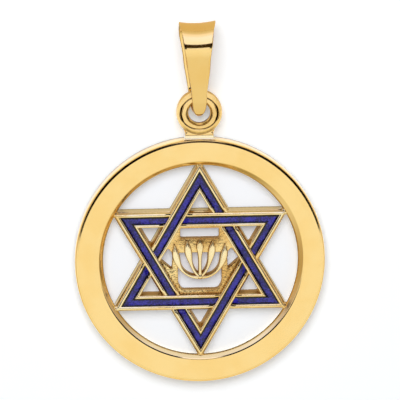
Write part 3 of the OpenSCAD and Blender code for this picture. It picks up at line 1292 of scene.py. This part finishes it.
@dataclass
class Studio:
    """Floor, soft light and camera."""

    # Where the camera looks and how far it stands, in millimetres, and its angles in degrees
    target: Triple = (0.016, 5.01, 1.2)
    distance: float = 320.0
    toward_bail: float = 13.85
    toward_left: float = 3.08
    roll: float = 0.374
    # The picture's scale and width in pixels, and the sensor's width
    pixels_per_mm: float = 12.6
    pixels: int = 400
    sensor: float = 36.0
    # Light of the tent against the angle from overhead, towards the bail, in degrees
    tent: tuple[tuple[float, Colour], ...] = (
        (-170, (0.8, 0.85, 0.95)),
        (-130, (0.5, 0.45, 0.3)),
        (-100, (0.3, 0.24, 0.1)),
        (-86, (0.4, 0.34, 0.18)),
        (-68, (0.82, 0.76, 0.6)),
        (-50, (0.89, 0.85, 0.72)),
        (-34, (0.94, 0.93, 0.86)),
        (-16, (1.0, 1.0, 0.97)),
        (16, (1.12, 1.14, 1.45)),
        (50, (1.14, 1.17, 1.7)),
        (64, (1.05, 1.02, 1.2)),
        (78, (0.78, 0.7, 0.56)),
        (90, (0.68, 0.58, 0.4)),
        (132, (0.7, 0.65, 0.5)),
        (160, (0.85, 0.9, 1.1)),
    )
    # Dark card round the lens: its edges' angles, each as a start and the steps added between two
    # distances from the middle, the middle's own x, the card's tones and the softness of its edges
    card_low: tuple[Triple, ...] = ((0.0, 0.0, 0.0), (-9.0, 0.03, 0.18), (55.0, 0.6, 0.85))
    card_high: tuple[Triple, ...] = ((17.0, 0.0, 0.0), (44.0, 0.1, 0.24), (-8.0, 0.42, 0.62))
    card_x: float = 0.05
    card_shades: tuple[Colour, Colour] = ((0.02, 0.012, 0.002), (0.002, 0.001, 0.0))
    card_soft: float = 2.0
    # The tent's tone far aside, and where it begins and ends
    side_tone: Colour = (0.5, 0.4, 0.24)
    side_reach: Point = (0.6, 1.0)
    # Strength of the tent's light, by which its tones are divided in the ramp
    strength: float = 2.0

    def world(self) -> None:
        """What the gold reflects: a light tent with a dark card round the lens."""
        world = bpy.data.worlds.new("tent")
        bpy.context.scene.world = world
        world.use_nodes = True
        world.cycles_visibility.diffuse = False
        board = Board(world.node_tree)
        way = board.wire("ShaderNodeTexCoord", {}, {}, "Generated")
        axes = board.node("ShaderNodeSeparateXYZ", {}, {"Vector": way})
        x, y, z = (Wire(board, axes.outputs[i]) for i in range(3))
        angle = y.sum("ARCTAN2", y, z) * (180 / math.pi)
        stops = [((a + 180) / 360, tuple(c / self.strength for c in colour)) for a, colour in self.tent]
        ramp = {"stops": stops, "ease": "EASE"}
        tent = board.wire("ShaderNodeValToRGB", ramp, {"Fac": (angle + 180) / 360})
        aside = abs(x - self.card_x)
        dim = board.blend(abs(x).between(*self.side_reach), (1.0, 1.0, 1.0), self.side_tone)
        tent = board.wire("ShaderNodeVectorMath", {"operation": "MULTIPLY"}, {0: tent, 1: dim})
        low, high = (
            start + sum(step * aside.between(near, far) for step, near, far in steps)
            for (start, *_), *steps in (self.card_low, self.card_high)
        )
        soft = self.card_soft
        card = ((angle - low) / soft).between(-0.5, 0.5) * ((high - angle) / soft).between(-0.5, 0.5)
        light = board.blend(card, tent, board.blend(aside.between(0.04, 0.14), *self.card_shades))
        shade = board.wire("ShaderNodeBackground", {}, {"Color": light, "Strength": self.strength})
        board.node("ShaderNodeOutputWorld", {}, {"Surface": shade})

    def lamp(self, name: str, size: float, energy: float, place: Triple) -> None:
        """A round soft lamp over the floor, which the gold doesn't reflect.

        Args:
            name: Its name.
            size: Its diameter in metres.
            energy: Its power in watts.
            place: Its place in metres. It faces the origin.
        """
        data = bpy.data.lights.new(name, "AREA")
        data.shape, data.size, data.energy = "DISK", size, energy
        lamp = show(name, data)
        lamp.location = place
        lamp.rotation_euler = (-Vector(place)).to_track_quat("-Z", "Y").to_euler()
        lamp.visible_glossy = lamp.visible_camera = False

    def floor(
        self, name: str, shade: Colour, patches: Sequence[tuple[Colour, float, float, float]], glow: float
    ) -> bpy.types.Object:
        """A plain matt floor.

        Args:
            name: Its name.
            shade: Its colour.
            patches: Round patches of another colour, painted shadows and painted reflections: the colour, y
                of the
            middle and the distances between which it fades, in millimetres.
            glow: Share of its light that doesn't depend on the lamps.

        Returns:
            The floor.
        """
        bench = bmesh.new()
        bmesh.ops.create_grid(bench, x_segments=4, y_segments=4, size=1.2)
        mesh = bpy.data.meshes.new(name)
        bench.to_mesh(mesh)
        bench.free()
        material = bpy.data.materials.new(name)
        material.use_nodes = True
        board = Board(material.node_tree)
        colour = shade
        # Painted shadows and painted reflections: each patch gives the floor another colour near its middle
        for patch, *reach in patches:
            middle, near, far = (r * MM for r in reach)
            way = board.wire(
                "ShaderNodeVectorMath", {"operation": "SUBTRACT"}, {0: board.place(), 1: (0.0, middle, 0.0)}
            )
            distance = board.wire("ShaderNodeVectorMath", {"operation": "LENGTH"}, {0: way}, "Value")
            colour = board.blend(distance.between(near, far), patch, colour)
        paper = board.wire(
            "ShaderNodeBsdfPrincipled",
            {},
            {
                "Base Color": colour,
                "Roughness": 0.95,
                "Specular IOR Level": 0.0,
                "Emission Color": colour,
                "Emission Strength": glow,
            },
        )
        board.node("ShaderNodeOutputMaterial", {}, {"Surface": paper})
        mesh.materials.append(material)
        floor = show(name, mesh)
        return floor

    def camera(self) -> None:
        """The camera, at the photograph's angle."""
        data = bpy.data.cameras.new("camera")
        data.sensor_width = self.sensor
        data.lens = self.sensor * self.distance * self.pixels_per_mm / self.pixels
        data.clip_start, data.clip_end = 0.01, 10.0
        back = Vector(
            (-math.tan(math.radians(self.toward_left)), math.tan(math.radians(self.toward_bail)), 1.0)
        ).normalized()
        up = Vector((0, 1, 0))
        up = (up - back * up.dot(back)).normalized()
        matrix = Matrix((up.cross(back), up, back)).transposed() @ turned(-self.roll)
        camera = show("camera", data)
        place = (Vector(self.target) + back * self.distance) * MM
        camera.matrix_world = Matrix.Translation(place) @ matrix.to_4x4()
        bpy.context.scene.camera = camera

    def build(self) -> None:
        """Sets the studio up. The gold reflects another, darker floor than the camera sees."""
        self.world()
        self.lamp("overhead", 2.0, 3.3, (0.0, 0.0, 0.42))
        self.lamp("key", 0.26, 1.03, (-0.04, 0.2, 0.34))
        # Painted shadows on the seen floor: darker inside the ring's openings and in the loop's hole
        openings = ((0.84, 0.87, 0.92), 0.0, 7.6, 8.2), ((0.68, 0.78, 0.92), 12.12, 0.9, 1.3)
        seen = self.floor("white_floor", (0.95, 0.975, 1.0), openings, 0.26)
        seen.visible_glossy = seen.visible_shadow = False
        seen.location.z = -0.01 * MM
        # The reflected floor is a darker golden sheet, a painted reflection of the floor in shade: brighter
        # round the ring, darker under its openings and far out
        near = ((0.85, 0.9, 1.0), 0.0, 12.0, 15.0), ((0.56, 0.5, 0.35), 0.0, 7.4, 8.2)
        reflected = self.floor("golden_floor", (0.56, 0.45, 0.27), near, 0.46)
        reflected.visible_camera = reflected.visible_diffuse = reflected.visible_shadow = False
        self.camera()
        view = bpy.context.scene.view_settings
        view.view_transform, view.look, view.exposure, view.gamma = "Standard", "None", 0.0, 1.0


def main() -> None:
    """Builds the pendant and its studio."""
    logging.basicConfig(level=logging.INFO, format="%(message)s")
    star, loop = Star(), Loop()
    parts = (Ring(), star, PointWebs(star), Ornament(star), Beads(), loop, Bail(loop), Studio())
    for part in parts:
        part.build()
        LOG.info("built %s", type(part).__name__)


if __name__ == "__main__":
    main()
